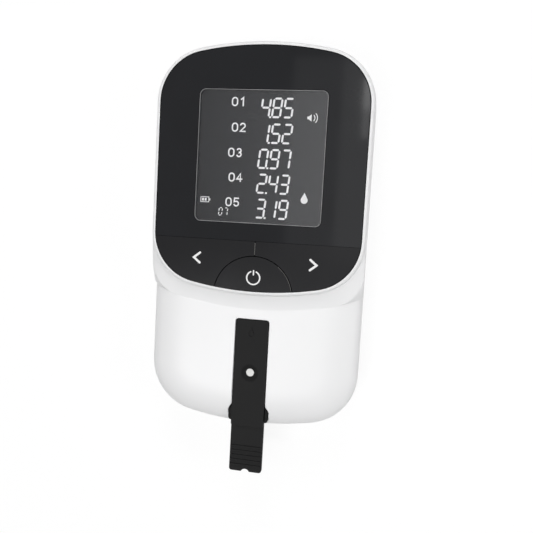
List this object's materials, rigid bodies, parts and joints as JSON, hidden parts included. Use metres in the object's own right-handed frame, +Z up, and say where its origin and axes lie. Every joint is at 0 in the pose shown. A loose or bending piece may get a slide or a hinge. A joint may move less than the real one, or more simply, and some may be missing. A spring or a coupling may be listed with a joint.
{
  "type": "lipid meter",
  "caption": "Handheld lipid meter with a raised display head, arrow and power keys, a pillow-shaped lower deck, and a test card in a pull-out holder.",
  "frame": {"origin": "on the resting plane under the feet, midway along and across the whole object with its card", "axes": "+Z up through the display, +Y towards the top of the display, +X to the display's right"},
  "size_m": [0.079, 0.158, 0.026],
  "materials": {
    "casing_white": "fine satin moulded ABS",
    "door_white": "fine satin moulded ABS",
    "panel_black": "glossy acrylic front",
    "window_tint": "clear lens, lightly smoked",
    "display_grey": "dark display cell",
    "frame_black": "moulded nylon",
    "light_guide": "translucent acrylic",
    "zebra_rubber": "layered conductive silicone",
    "key_black": "glossy key caps with printed symbols",
    "plunger_ivory": "moulded acetal",
    "switch_steel": "stamped steel",
    "board_green": "solder resist on glass fibre",
    "package_black": "moulded epoxy",
    "buzzer_black": "moulded plastic",
    "port_steel": "plated steel shell",
    "lamp_clear": "clear epoxy",
    "sensor_dark": "dark epoxy",
    "optic_clear": "clear glass",
    "holder_black": "satin moulded plastic",
    "card_black": "fine grained moulded plastic",
    "pad_white": "fine reagent membrane",
    "cell_wrap": "plain printed sleeve",
    "spring_steel": "nickel plated wire",
    "contact_steel": "nickel plated sheet",
    "chip_blue": "moulded plastic",
    "screw_steel": "zinc plated",
    "foot_rubber": "soft rubber"
  },
  "bodies": {
    "casing": {"front_cover": "casing_white", "rear_cover": "casing_white", "front_panel": "panel_black", "display_window": "window_tint", "lcd_glass": "display_grey", "lcd_frame": "frame_black", "backlight": "light_guide", "zebra_strips": "zebra_rubber", "tact_switches": "switch_steel", "main_board": "board_green", "board_chips": "package_black", "buzzer": "buzzer_black", "data_port": "port_steel", "sensor_board": "board_green", "optical_head": "frame_black", "lamps": "lamp_clear", "light_sensor": "sensor_dark", "optical_window": "optic_clear", "battery_cells": "cell_wrap", "battery_springs": "spring_steel", "battery_contacts": "contact_steel", "chip_socket": "frame_black", "case_screws": "screw_steel", "board_screws": "screw_steel", "rubber_feet": "foot_rubber"},
    "left_key": {"left_key": "key_black", "left_plunger": "plunger_ivory"},
    "right_key": {"right_key": "key_black", "right_plunger": "plunger_ivory"},
    "power_key": {"power_key": "key_black", "power_plunger": "plunger_ivory"},
    "battery_door": {"battery_door": "door_white"},
    "card_holder": {"card_holder": "holder_black"},
    "test_card": {"card_base": "card_black", "card_cover": "card_black", "reagent_pad": "pad_white"},
    "code_chip": {"code_chip": "chip_blue"}
  },
  "joints": [
    {"name": "left_key_press", "type": "slide", "parent": "casing", "child": "left_key", "axis": [0, 0, -1], "range_m": [0, 0.0005], "stiffness_N_per_m": 800},
    {"name": "right_key_press", "type": "slide", "parent": "casing", "child": "right_key", "axis": [0, 0, -1], "range_m": [0, 0.0005], "stiffness_N_per_m": 800},
    {"name": "power_key_press", "type": "slide", "parent": "casing", "child": "power_key", "axis": [0, 0, -1], "range_m": [0, 0.0005], "stiffness_N_per_m": 800},
    {"name": "door_swing", "type": "hinge", "parent": "casing", "child": "battery_door", "pos_m": [0, 0.02165, 0.0008], "axis": [1, 0, 0], "range_deg": [0, 80]},
    {"name": "holder_slide", "type": "slide", "parent": "casing", "child": "card_holder", "axis": [0, -1, 0], "range_m": [0, 0.042]},
    {"name": "card_slide", "type": "slide", "parent": "card_holder", "child": "test_card", "axis": [0, -1, 0], "range_m": [0, 0.04]},
    {"name": "chip_slide", "type": "slide", "parent": "casing", "child": "code_chip", "axis": [-1, 0, 0], "range_m": [0, 0.01]}
  ]
}
